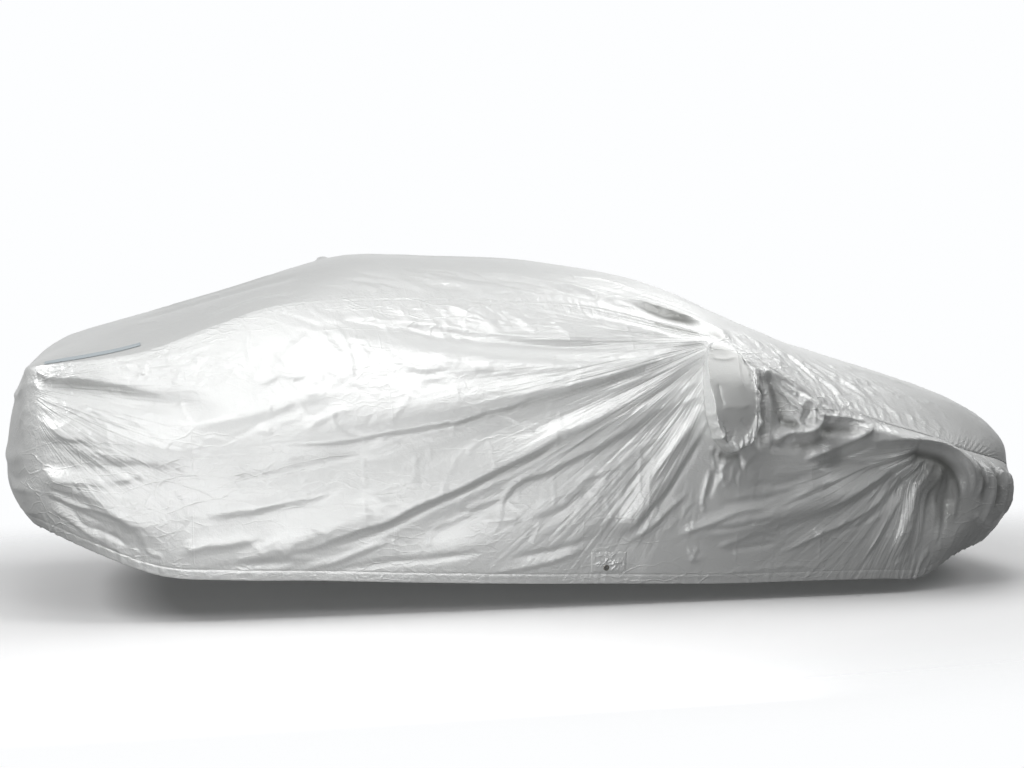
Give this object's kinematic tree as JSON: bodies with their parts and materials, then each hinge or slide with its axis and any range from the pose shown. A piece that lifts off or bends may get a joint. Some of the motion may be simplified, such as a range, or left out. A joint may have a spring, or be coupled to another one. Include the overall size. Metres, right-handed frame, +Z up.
{
  "type": "car cover",
  "caption": "Fitted cloth cover for a saloon car, draped and hollow, with a centre panel, two side panels, mirror bags and hem eyelets.",
  "frame": {"origin": "below the middle of the cover, level with its lowest hem", "axes": "+X to the car's front, +Y to the car's left side, +Z up"},
  "size_m": [4.5029, 2.1824, 1.3991],
  "materials": {
    "silver_cloth": "silver-coated woven polyester, satin, creased",
    "grey_strip": "cool grey reflective strip, satin",
    "plated_steel": "nickel-plated, bright"
  },
  "bodies": {
    "root": {"centre_panel": "silver_cloth", "side_panel_right": "silver_cloth", "side_panel_left": "silver_cloth", "mirror_pocket_right": "silver_cloth", "mirror_pocket_left": "silver_cloth", "eyelet_patch_right": "silver_cloth", "eyelet_patch_left": "silver_cloth", "eyelet_right": "plated_steel", "eyelet_left": "plated_steel", "reflective_strip_right": "grey_strip", "reflective_strip_left": "grey_strip"}
  },
  "joints": []
}
